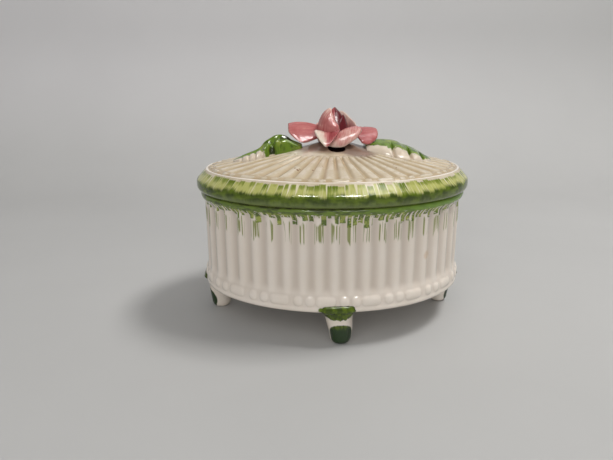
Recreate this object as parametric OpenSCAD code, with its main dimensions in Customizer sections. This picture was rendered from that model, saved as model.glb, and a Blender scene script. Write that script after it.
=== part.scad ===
// Oval footed trinket box with a lift-off lid, an applied rose and two leaves.
// Origin: centre of the plan, on the surface that the four feet stand on. +X is the long way, +Z is up.

/* [Plan] */
// Half length of the lid, its widest ring
lid_a = 65; // [60:1:75]
// How much shorter the half width is than the half length, the same on every ring
oval_step = 13; // [8:1:18]

/* [Heights] */
// Height of the lip that the feet carry
foot_h = 16.2; // [12:0.5:20]
// Height of the rim that the lid rests on
rim_z = 61.3; // [50:0.5:70]
// Rise of the lid's dome, from its bead border to its crown
dome_rise = 9; // [6:0.5:12]
// Extra rise of the low boss under the flower
boss_rise = 2.4; // [0:0.2:4]
// Height of the bud's tip above the crown
bud_h = 17.7; // [14:0.5:22]

/* [Body] */
// Ring radius of the ribbed wall, along its ribs
wall_a = 61.6; // [58:0.5:63]
// Thickness of the cast wall
wall_t = 4.2; // [3:0.2:5]
// Thickness of the floor
floor_t = 4; // [3:0.5:6]
// Number of ribs round the wall
ribs = 46; // [30:2:60]
// Depth of the valleys between the ribs
rib_depth = 0.9; // [0.4:0.1:1.2]

/* [Lid] */
// Thickness of the cast lid
lid_t = 3.8; // [3:0.2:5]
// Gap between the seating flange and the wall inside the body
flange_gap = 1; // [0.6:0.1:2]
// Diameter of the vent hole in front of the flower
vent_d = 8; // [5:0.5:9]
// Place of the vent hole, measured from the middle of the lid towards the front
vent_y = -10.2; // [-12:0.2:-8]

/* [Feet] */
// Radius of a leg where it meets the floor
leg_top_r = 6.4; // [5:0.2:7]
// Radius of a leg at its narrowest
leg_low_r = 4.7; // [3.8:0.1:5]
// Radius of the flat that a toe stands on
toe_flat_r = 2.6; // [2:0.2:3]

/* [Flower] */
// Thickness of a petal at its middle
petal_t = 1.3; // [1:0.1:2]
// Radius of the bud at its widest
bud_r = 6.6; // [5:0.2:8]
// Height of a leaf's back above the dome
leaf_h = 6.4; // [4:0.2:8]

/* [Hidden] */
$fn = 96;
deg_per_rad = 180 / PI;

cream = "#e6dccb";
white = "#eeeae2";
green = "#5c6f2f";
pink = "#c9797c";
crimson = "#8e2a35";

inner_a = wall_a - wall_t;      // ring radius inside the body
floor_low_z = foot_h + 1;       // underside of the floor, inside the lip
floor_top_z = floor_low_z + floor_t;
lip_a = wall_a + 1.2;           // ring radius of the lip
collar_z = rim_z - 3.7;         // underside of the rolled collar
bead_z = foot_h + 4.3;          // middle of the bead band
bead_top_z = bead_z + 2.6;
crown_z = rim_z + 10.6 + dome_rise;
dome_a = lid_a - 7;             // ring radius where the dome starts
dome_low_z = crown_z - dome_rise;
dome_power = 1.3;               // 1 is a cone, 2 is a parabola
boss_a = 26;                    // ring radius of the boss
crease_z = rim_z + 5.7;
hollow_a = inner_a - flange_gap - 3.4;   // ring radius of the hollow under the lid
flange_h = 4;
rose_x = 1;                     // middle of the flower
foot_reach_x = lip_a - leg_top_r - 0.2;   // the feet's distance from the middle
foot_reach_y = foot_reach_x - oval_step;

// Squeezes the plan so that the ring of radius a is oval_step narrower along Y.
module oval(a) { scale([1, (a - oval_step) / a, 1]) children(); }

// Height of the lid's surface over a point of the plan.
function ring_of(x, y) = norm([x, y * dome_a / (dome_a - oval_step)]);
function dome_z(x, y) = dome_low_z + dome_rise * (1 - pow(min(1, ring_of(x, y) / dome_a), dome_power))
    + boss_rise * (1 + cos(180 * min(1, ring_of(x, y) / boss_a))) / 2;

// Outline of one ring. Ribbed rings have round ribs with a narrow valley between them, one valley at the front.
function half_width(a) = a >= dome_a ? a - oval_step : a * (dome_a - oval_step) / dome_a;
function valley(angle) =
    let (phase = (angle + 90) * ribs / 360, across = abs(2 * (phase - floor(phase)) - 1))
    pow(across, 3);
function ring_point(point, angle) =
    let (a = point[0] - (point[2] == undef ? 0 : point[2] * valley(angle)), b = half_width(a),
        r = a * b / norm([b * cos(angle), a * sin(angle)]))
    [r * cos(angle), r * sin(angle), point[1]];

// A closed solid with one ring for each point [ring radius, height, rib depth] of the profile.
// The profile runs from the axis below, round the outside, and back to the axis above.
module lofted(profile, count) {
    last = len(profile) - 1;
    rings = [for (i = [1 : last - 1], j = [0 : count - 1]) ring_point(profile[i], j * 360 / count)];
    low = len(rings);
    high = low + 1;
    function at(i, j) = i * count + j % count;
    walls = [for (i = [0 : last - 3], j = [0 : count - 1]) each [
        [at(i, j), at(i + 1, j), at(i + 1, j + 1)], [at(i, j), at(i + 1, j + 1), at(i, j + 1)]]];
    ends = [for (j = [0 : count - 1]) each [
        [low, at(0, j), at(0, j + 1)], [high, at(last - 2, j + 1), at(last - 2, j)]]];
    poles = [[0, 0, profile[0][1]], [0, 0, profile[last][1]]];
    polyhedron(concat(rings, poles), concat(walls, ends), convexity = 6);
}

// The cast body: floor with a lip, bead band, ribbed wall and rolled collar, hollowed from above.
module body_shell() {
    lip = [[wall_a - 2.6, floor_low_z], [wall_a - 1.8, foot_h], [lip_a - 0.6, foot_h],
        [lip_a, foot_h + 0.9], [lip_a - 0.3, foot_h + 2.3]];
    band = [for (i = [-2 : 2]) [wall_a + 1.9 * cos(i * 35), bead_z + 1.9 * sin(i * 35)]];
    wall = [[wall_a, bead_top_z, rib_depth * 0.3], [wall_a, bead_top_z + 1.2, rib_depth],
        [wall_a, collar_z - 1.2, rib_depth], [wall_a, collar_z, rib_depth * 0.2]];
    collar = [for (i = [-2 : 2]) [wall_a + 0.3 + 1.5 * cos(i * 35), collar_z + 2 + 1.4 * sin(i * 35)]];
    rim = [[wall_a - 0.4, rim_z], [inner_a, rim_z]];
    inside = [[inner_a, floor_top_z + 3], [inner_a - 0.9, floor_top_z + 0.9], [inner_a - 3, floor_top_z]];
    outside = concat([[0, floor_low_z]], lip, band, wall, collar);
    color(white) lofted(concat(outside, rim, inside, [[0, floor_top_z]]), 4 * ribs);
}

// One foot: a leg that tapers to a rounded toe and flares where it is luted under the lip.
module foot(x, y) {
    toe_z = 4.2;
    toe = [for (i = [0 : 5]) let (turn = i * 18)
        [toe_flat_r + (leg_low_r - toe_flat_r) * sin(turn), toe_z * (1 - cos(turn))]];
    leg = [[leg_low_r + 0.5, foot_h / 2], [leg_top_r - 0.5, foot_h - 3.2], [leg_top_r, foot_h - 1.4],
        [leg_top_r + 1.2, foot_h + 0.3], [leg_top_r + 1.2, floor_low_z + 0.6]];
    color(white) translate([x, y, 0])
        rotate_extrude() polygon(concat([[0, 0]], toe, leg, [[0, floor_low_z + 0.6]]));
}

// The cast lid: rolled edge with a crease, a rim line and a domed top, hollow underneath.
module lid_shell() {
    ceiling = [for (i = [0 : 8]) let (r = (hollow_a - 2) * i / 8) [r, dome_z(r, 0) - lid_t]];
    under = [[hollow_a, ceiling[8][1] - 2.4], [hollow_a, rim_z], [lid_a - 2.9, rim_z],
        [lid_a - 1.6, rim_z + 0.6]];
    roll = [for (i = [-2 : 2]) [lid_a - 2.4 + 2.4 * cos(i * 24), rim_z + 3.2 + 2.4 * sin(i * 24)]];
    shoulder = [for (i = [0 : 4]) let (turn = i * 18 + 6)
        [lid_a - 5.2 + 3.9 * cos(turn), crease_z + 0.2 + 4.1 * sin(turn)]];
    dome = [for (i = [0 : 11]) let (r = dome_a * (1 - i / 11)) [r, dome_z(r, 0)]];
    color(cream) difference() {
        lofted(concat(ceiling, under, roll, shoulder, dome), 2 * ribs);
        translate([rose_x, vent_y, crown_z - 8]) cylinder(h = 12, r = vent_d / 2);
    }
}

// The strip under the lid that keeps it centred in the body.
module lid_flange() {
    flange_a = inner_a - flange_gap;
    color(cream) translate([0, 0, rim_z - flange_h]) difference() {
        oval(flange_a) cylinder(h = flange_h, r = flange_a);
        translate([0, 0, -1]) oval(hollow_a) cylinder(h = flange_h + 2, r = hollow_a);
    }
}

// The pad of clay that carries the flower.
module rose_base() {
    color(white) translate([rose_x, 3.4, 0]) rotate_extrude()
        polygon([[0, crown_z - 2], [7.4, crown_z - 2], [6.6, crown_z + 0.6], [6.8, crown_z + 2],
            [9, crown_z + 4], [8.4, crown_z + 5], [0, crown_z + 5]]);
}

// The rolled bud in the middle, pointed at the top.
module rose_bud() {
    low_z = crown_z + 2.4;
    top_z = crown_z + bud_h;
    side = [for (i = [0 : 10]) let (t = i / 10)
        [bud_r * pow(1 - t, 0.62) * (0.72 + 1.05 * t) , low_z + (top_z - low_z) * t]];
    color(crimson) translate([rose_x, 0.5, 0]) rotate_extrude() polygon(concat([[0, low_z]], side));
}

// A petal is a thin closed sheet. Its middle line starts at (start_r, start_z), leans from lean[0] to lean[1]
// degrees above the ground over its length, and its cross-section is an arc of radius cup.
// p = [azimuth, start_r, start_z, length, half_width, lean, cup, roll, tip_drop]
petal_cols = 10;
petal_rows = 8;
function petal_width(t) = 0.42 + 0.58 * sin(min(1, t / 0.62) * 90) - 0.42 * pow(max(0, (t - 0.62) / 0.38), 2);
function petal_point(p, u, t, side) =
    let (
        s = t * p[3] * (1 - p[8] * u * u),
        bend = (p[5][1] - p[5][0]) / p[3],
        lean = p[5][0] + bend * s,
        r = p[1] + (sin(lean) - sin(p[5][0])) * deg_per_rad / bend,
        z = p[2] - (cos(lean) - cos(p[5][0])) * deg_per_rad / bend,
        arc = u * p[4] * petal_width(t) / p[6] * deg_per_rad,
        thick = petal_t * (1 - 0.5 * pow(abs(u), 3)) * (1 - 0.4 * pow(t, 4)),
        lat = p[6] * sin(arc) - side * thick / 2 * sin(arc),
        rise = p[6] * (1 - cos(arc)) + side * thick / 2 * cos(arc),
        across = lat * cos(p[7]) - rise * sin(p[7]),
        out = lat * sin(p[7]) + rise * cos(p[7])
    )
    let (rr = r - sin(lean) * out, zz = z + cos(lean) * out)
    [rose_x + rr * cos(p[0]) - across * sin(p[0]), rr * sin(p[0]) + across * cos(p[0]), zz];

// Joins two grids of points, one over the other, into a closed solid.
module closed_sheet(upper, lower, cols, rows) {
    w = cols + 1;
    n = w * (rows + 1);
    function at(c, r) = r * w + c;
    faces = [for (r = [0 : rows - 1], c = [0 : cols - 1]) each [
        [at(c, r), at(c + 1, r), at(c + 1, r + 1)], [at(c, r), at(c + 1, r + 1), at(c, r + 1)],
        [n + at(c, r), n + at(c + 1, r + 1), n + at(c + 1, r)],
        [n + at(c, r), n + at(c, r + 1), n + at(c + 1, r + 1)]]];
    ends = [for (c = [0 : cols - 1]) each [
        [at(c + 1, 0), at(c, 0), n + at(c, 0)], [at(c + 1, 0), n + at(c, 0), n + at(c + 1, 0)],
        [at(c, rows), at(c + 1, rows), n + at(c + 1, rows)],
        [at(c, rows), n + at(c + 1, rows), n + at(c, rows)]]];
    sides = [for (r = [0 : rows - 1]) each [
        [at(0, r), at(0, r + 1), n + at(0, r + 1)], [at(0, r), n + at(0, r + 1), n + at(0, r)],
        [at(cols, r + 1), at(cols, r), n + at(cols, r)],
        [at(cols, r + 1), n + at(cols, r), n + at(cols, r + 1)]]];
    polyhedron(concat(upper, lower), concat(faces, ends, sides), convexity = 6);
}

module petal(p) {
    function side_grid(side) = [for (r = [0 : petal_rows], c = [0 : petal_cols])
        petal_point(p, 2 * c / petal_cols - 1, r / petal_rows, side)];
    color(pink) closed_sheet(side_grid(1), side_grid(-1), petal_cols, petal_rows);
}

inner_z = crown_z + 3.2;   // where the inner petals start
outer_z = crown_z + 3;     // where the outer petals start
//  azimuth, start_r, start_z, length, half_width, lean, cup, roll, tip_drop
inner_left = [215, 6.2, inner_z, 11.5, 8.2, [80, 118], 7.6, 0, 0.3];
inner_right = [-18, 6.4, inner_z, 11, 7.4, [82, 112], 7.8, 0, 0.3];
inner_back = [75, 6.6, inner_z, 11.5, 7.6, [78, 100], 8.2, 0, 0.3];
outer_left = [180, 6.2, outer_z + 3.1, 15.5, 6.8, [6, -4], -28, -44, 0.1];
outer_front_left = [240, 5.6, outer_z + 5.6, 10.5, 6, [-8, -52], 18, 4, 0.2];
outer_front_right = [288, 4.6, outer_z + 5.8, 12, 8, [2, -72], -18, 14, 0.2];
outer_right = [356, 6.2, outer_z + 4.6, 14.4, 7.4, [8, -18], -18, 20, 0.2];
outer_back_left = [126, 6.6, outer_z, 13, 8, [30, 4], 16, 0, 0.25];
outer_back_right = [58, 6.6, outer_z, 13, 8, [32, 2], 16, 0, 0.25];

// A leaf is a thick relief that lies on the dome, from near the flower out to a pointed tip.
// l = [x at the flower, x at the tip, y of its ridge, half_width, height factor]
leaf_cols = 12;
leaf_rows = 16;
function leaf_width(t) = 0.1 + 0.9 * pow(sin(180 * pow(0.08 + 0.9 * t, 0.8)), 0.7);
function leaf_back(t) = 0.15 + 0.85 * pow(sin(180 * pow(0.14 + 0.84 * t, 0.75)), 0.8);
function leaf_point(l, u, t, top) =
    let (x = l[0] + (l[1] - l[0]) * t, y = l[2] + u * l[3] * leaf_width(t))
    [x, y, dome_z(x, y) - 0.8 + top * (0.9 + leaf_h * l[4] * leaf_back(t) * pow(1 - u * u, 0.6))];

module leaf(l) {
    turned = l[1] > l[0] ? 1 : -1;
    function side_grid(top) = [for (r = [0 : leaf_rows], c = [0 : leaf_cols])
        leaf_point(l, turned * (2 * c / leaf_cols - 1), r / leaf_rows, top)];
    color(green) closed_sheet(side_grid(1), side_grid(0), leaf_cols, leaf_rows);
}

body_shell();
foot(0, -foot_reach_y);  // foot_front
foot(0, foot_reach_y);  // foot_back
foot(-foot_reach_x, 0);  // foot_left
foot(foot_reach_x, 0);  // foot_right
lid_shell();
lid_flange();
rose_base();
rose_bud();
petal(inner_left);  // petal_inner_left
petal(inner_right);  // petal_inner_right
petal(inner_back);  // petal_inner_back
petal(outer_left);  // petal_left
petal(outer_front_left);  // petal_front_left
petal(outer_front_right);  // petal_front_right
petal(outer_right);  // petal_right
petal(outer_back_left);  // petal_back_left
petal(outer_back_right);  // petal_back_right
leaf([-14, -48, -4, 9, 1.25]);  // leaf_left
leaf([14, 48, -4, 8, 0.9]);  // leaf_right
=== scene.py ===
import math
import bpy
import numpy as np
from mathutils import Matrix, Vector


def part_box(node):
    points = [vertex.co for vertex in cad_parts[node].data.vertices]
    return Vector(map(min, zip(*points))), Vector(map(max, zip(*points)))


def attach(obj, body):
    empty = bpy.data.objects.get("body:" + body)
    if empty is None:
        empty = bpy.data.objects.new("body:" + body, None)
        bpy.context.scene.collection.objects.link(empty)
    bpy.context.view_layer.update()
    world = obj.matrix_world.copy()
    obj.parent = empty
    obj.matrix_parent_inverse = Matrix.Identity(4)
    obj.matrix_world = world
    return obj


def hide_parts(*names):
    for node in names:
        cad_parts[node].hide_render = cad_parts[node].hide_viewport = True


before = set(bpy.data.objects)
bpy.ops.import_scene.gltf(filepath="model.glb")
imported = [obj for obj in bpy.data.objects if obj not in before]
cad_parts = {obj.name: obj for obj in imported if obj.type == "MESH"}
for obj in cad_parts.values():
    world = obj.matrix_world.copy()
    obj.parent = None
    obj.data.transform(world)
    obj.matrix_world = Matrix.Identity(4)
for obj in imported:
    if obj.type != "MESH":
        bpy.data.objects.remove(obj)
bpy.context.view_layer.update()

# Everything below is worked out in millimetres and turned to metres when a mesh is made.
mm = 0.001
twoPi = 2 * math.pi


def boxMm(node):
    # the two corners of a CAD part's box
    low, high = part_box(node)
    return [v / mm for v in low], [v / mm for v in high]


bodyLow, bodyHigh = boxMm("body_shell")
lidHigh = boxMm("lid_shell")[1]
budLow, budHigh = boxMm("rose_bud")
ovalStep = lidHigh[0] - lidHigh[1]   # every ring is this much narrower along Y
roseX = (budLow[0] + budHigh[0]) / 2
crownZ = lidHigh[2]


# the camera comes first; its place and lens are in millimetres
cameraSetup = {
    "place": (-25.8, -249.6, 110.2),
    "turnRight": 3.05,      # degrees from +Y towards +X
    "lookDown": 15.93,
    "roll": -0.23,
    "lens": 30.538,
    "sensor": 36.0,
}


def addCamera(s):
    turn, down, roll = (math.radians(s[k]) for k in ("turnRight", "lookDown", "roll"))
    look = Vector((math.sin(turn) * math.cos(down), math.cos(turn) * math.cos(down), -math.sin(down)))
    side = look.cross(Vector((0, 0, 1))).normalized()
    up = side.cross(look)
    right = side * math.cos(roll) + up * math.sin(roll)
    up = up * math.cos(roll) - side * math.sin(roll)
    data = bpy.data.cameras.new("studioCamera")
    data.sensor_fit = "HORIZONTAL"
    data.sensor_width = s["sensor"]
    data.lens = s["lens"]
    data.clip_start, data.clip_end = 0.01, 20
    camera = bpy.data.objects.new("studioCamera", data)
    bpy.context.scene.collection.objects.link(camera)
    place = Vector(s["place"]) * mm
    rows = [[right[i], up[i], -look[i], place[i]] for i in range(3)]
    camera.matrix_world = Matrix(rows + [[0, 0, 0, 1]])
    bpy.context.scene.camera = camera


addCamera(cameraSetup)
print("camera set")


def ease(x, low, high):
    # 0 below low, 1 above high, smooth between
    t = np.clip((np.asarray(x, float) - low) / (high - low), 0, 1)
    return t * t * (3 - 2 * t)


def camelName(node):
    first, *rest = node.split("_")
    return first + "".join(part.title() for part in rest)


def blendList(values, t):
    # runs straight from each value of a list to the next, t from 0 to 1
    return np.interp(t, np.linspace(0, 1, len(values)), values)


def roundRun(knots, step):
    # a smooth curve through the knots, with a point about every step millimetres
    p = np.array(knots, float)
    p = np.vstack([2 * p[0] - p[1], p, 2 * p[-1] - p[-2]])
    out = []
    for i in range(1, len(p) - 2):
        count = max(1, int(np.linalg.norm(p[i + 1] - p[i]) / step))
        for t in np.arange(count) / count:
            out.append(0.5 * (2 * p[i] + (p[i + 1] - p[i - 1]) * t
                              + (2 * p[i - 1] - 5 * p[i] + 4 * p[i + 1] - p[i + 2]) * t ** 2
                              + (3 * p[i] - p[i - 1] - 3 * p[i + 1] + p[i + 2]) * t ** 3))
    out.append(p[-2])
    return np.array(out)


def ringXY(a, angle, innerA=58.0):
    # a point of the ring with half length a, at a polar angle
    b = np.where(a >= innerA, a - ovalStep, a * (innerA - ovalStep) / innerA)
    r = a * b / np.maximum(np.hypot(b * np.cos(angle), a * np.sin(angle)), 1e-9)
    return r * np.cos(angle), r * np.sin(angle)


def addPiece(name, points, faces, material, paint=None):
    # points in millimetres; paint is one (x, y, z) for each corner of each face
    mesh = bpy.data.meshes.new(name)
    mesh.from_pydata((np.asarray(points) * mm).tolist(), [], faces)
    mesh.update()
    if paint is not None:
        layer = mesh.attributes.new("paint", "FLOAT_VECTOR", "CORNER")
        layer.data.foreach_set("vector", np.asarray(paint, np.float32).ravel())
    mesh.polygons.foreach_set("use_smooth", np.ones(len(mesh.polygons), bool))
    mesh.materials.append(material)
    obj = bpy.data.objects.new(name, mesh)
    bpy.context.scene.collection.objects.link(obj)
    return obj


def addTurned(name, grid, paint, material):
    # grid is (rows, columns, 3), closed round the columns; the first and last rows close on a point
    rows, cols = grid.shape[:2]
    points = grid.reshape(-1, 3).tolist()
    poles = [grid[0].mean(0).tolist(), grid[-1].mean(0).tolist()]
    faces, colours = [], []
    for i in range(rows - 1):
        for j in range(cols):
            k = (j + 1) % cols
            faces.append((i * cols + j, i * cols + k, (i + 1) * cols + k, (i + 1) * cols + j))
            colours += [paint[i, j], paint[i, j + 1], paint[i + 1, j + 1], paint[i + 1, j]]
    low, high = len(points), len(points) + 1
    for j in range(cols):
        k = (j + 1) % cols
        faces.append((low, k, j))
        colours += [paint[0, j], paint[0, j + 1], paint[0, j]]
        faces.append((high, (rows - 1) * cols + j, (rows - 1) * cols + k))
        colours += [paint[-1, j], paint[-1, j], paint[-1, j + 1]]
    return addPiece(name, points + poles, faces, material, np.array(colours))


def addSheet(name, middle, thick, paint, material):
    # a thin closed sheet round a (rows, columns, 3) surface, with a rounded edge all the way round
    rows, cols = middle.shape[:2]
    along = np.gradient(middle, axis=0)
    across = np.gradient(middle, axis=1)
    normal = np.cross(across, along)
    normal /= np.maximum(np.linalg.norm(normal, axis=2, keepdims=True), 1e-9)
    upper = middle + normal * thick[..., None] / 2
    lower = middle - normal * thick[..., None] / 2
    edge = np.ones((rows, cols), bool)
    edge[1:-1, 1:-1] = False
    index = np.arange(rows * cols).reshape(rows, cols)
    under = np.full((rows, cols), -1)
    under[edge] = index[edge]
    under[1:-1, 1:-1] = rows * cols + np.arange((rows - 2) * (cols - 2)).reshape(rows - 2, cols - 2)
    points = np.vstack([upper.reshape(-1, 3), lower[1:-1, 1:-1].reshape(-1, 3)])
    faces, colours = [], []
    for i in range(rows - 1):
        for j in range(cols - 1):
            corners = [(i, j), (i, j + 1), (i + 1, j + 1), (i + 1, j)]
            faces.append(tuple(int(index[c]) for c in corners))
            colours += [paint[0][c] for c in corners]
            faces.append(tuple(int(under[c]) for c in corners[::-1]))
            colours += [paint[1][c] for c in corners[::-1]]
    return addPiece(name, points, faces, material, np.array(colours))


def colour(hexText):
    # sRGB hex to linear
    parts = [int(hexText[i:i + 2], 16) / 255 for i in (1, 3, 5)]
    return [p / 12.92 if p <= 0.04045 else ((p + 0.055) / 1.055) ** 2.4 for p in parts] + [1.0]


def perMm(*sizes):
    # turns the size of one mark, in millimetres, into a pattern's scale; None leaves that direction plain
    return [1 / size if size else 0.0 for size in sizes]


# short names for the nodes used most, with what their values are, in order
presets = {
    "plus": ("Math", {"operation": "ADD"}),
    "minus": ("Math", {"operation": "SUBTRACT"}),
    "times": ("Math", {"operation": "MULTIPLY"}),
    "larger": ("Math", {"operation": "MAXIMUM"}),
    "fade": ("MapRange", {"interpolation_type": "SMOOTHSTEP"}),     # value, where it is 0, where it is 1
    "mix": ("Mix", {"data_type": "RGBA"}),                          # how much of the upper, lower, upper
    "noise": ("TexNoise", {"noise_dimensions": "3D"}),              # vector, scale, detail, roughness
    "shift": ("VectorMath", {"operation": "ADD"}),
    "stretch": ("VectorMath", {"operation": "MULTIPLY"}),
    "length": ("VectorMath", {"operation": "LENGTH"}),
}


def addNode(tree, kind, *values, every=False, **settings):
    # values fill the sockets that show, from the top, or the named ones when they come in a dictionary
    kind, preset = presets.get(kind, (kind, {}))
    node = tree.nodes.new("ShaderNode" + kind)
    for name, value in {**preset, **settings}.items():
        setattr(node, name, value)
    shown = [socket for socket in node.inputs if socket.enabled]
    if values and isinstance(values[0], dict):
        pairs = [(node.inputs[name], value) for name, value in values[0].items()]
    else:
        pairs = list(zip(shown, values))
    for socket, value in pairs:
        if isinstance(value, bpy.types.NodeSocket):
            tree.links.new(value, socket)
        else:
            socket.default_value = colour(value) if isinstance(value, str) else value
    outputs = [socket for socket in node.outputs if socket.enabled]
    return outputs if every or not outputs else outputs[0]


def newGlaze(name):
    material = bpy.data.materials.new(name)
    material.use_nodes = True
    material.node_tree.nodes.clear()
    return material, material.node_tree


def paintParts(tree):
    # the paint layer: x is millimetres round, y is millimetres up, z is how deep the hollow is
    vector = addNode(tree, "Attribute", every=True, attribute_name="paint")[1]
    x, y, z = addNode(tree, "SeparateXYZ", vector, every=True)
    return vector, x, y, z


def placeMm(tree):
    place = addNode(tree, "TexCoord", every=True)[3]
    return addNode(tree, "stretch", place, (1 / mm, 1 / mm, 1 / mm))


def spot(tree, place, at, radius, ragged=0.0):
    # 1 inside a small round spot, 0 outside; without a height it is a spot seen from above
    x, y, z = at if len(at) == 3 else (*at, 0.0)
    offset = addNode(tree, "shift", place, (-x, -y, -z))
    offset = addNode(tree, "stretch", offset, (1.0, 1.0, 1.0 if len(at) == 3 else 0.0))
    away = addNode(tree, "length", offset)
    if ragged:
        noise = addNode(tree, "noise", place, 1 / 0.8333, 3)
        away = addNode(tree, "plus", away, addNode(tree, "times", noise, ragged))
    return addNode(tree, "minus", 1.0, addNode(tree, "fade", away, radius * 0.7, radius * 1.2))


def brushOver(tree, amount, share, lower, upper):
    # lays one colour over another; share is how strongly it covers at most
    return addNode(tree, "mix", addNode(tree, "times", amount, share), lower, upper)


def finishGlaze(tree, base, roughness, height, strength, coat=0.0):
    # clear glaze over the colour: one glossy layer, a little uneven where it ran
    bump = addNode(tree, "Bump", {"Height": height, "Strength": strength, "Distance": 0.3 * mm})
    shader = addNode(tree, "BsdfPrincipled", {
        "Base Color": base, "Roughness": roughness, "IOR": 1.5, "Coat Weight": coat, "Coat Roughness": 0.06,
        "Normal": bump})
    addNode(tree, "OutputMaterial", {"Surface": shader})


paintTop = bodyHigh[2]                 # the rim
edgeCrease = paintTop + 5.7            # where the lid's roll meets its shoulder
edgeTop = paintTop + 9.9               # just under the lid's rim line

# sizes are in millimetres; the strokes', dabs' and collar's are measured down from the rim
bodyPaint = {
    "white": "#ebe2d8", "whiteWarm": "#e1d5c6", "whiteCool": "#e5ded7", "valley": "#b8a99b",
    "stain": "#c79a62", "stroke": "#7b8536", "dabDark": "#4b6212", "line": "#617c14", "dabPale": "#9aa548",
    # the brightest green is painted light, for the right-hand end of the collar
    "collarDark": "#38480a", "bright": "#76a322", "green": "#5e7212",
    "cloud": 12.5, "smallCloud": 2.857,                  # soft patches in the white
    "streakWidth": 0.5263, "streakHeight": 35.09,        # the mark of a few bristles
    "strokeStart": 2.6, "strokeStartVaries": 8.0, "strokeEnd": 9.8, "strokeEndVaries": 10.0,
    "dabWidth": 2.381, "dabEnd": 3.5, "dabEndVaries": 4.6, "collar": 2.6,      # a small round brush
    "slipAt": (-9.3, -49.6, 17.6), "slipRadius": 1.6, "stainAt": (38.0, -38.2, 37.5), "stainRadius": 2.6,
    "roughness": 0.17, "glazeWave": 2.0,
}


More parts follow.
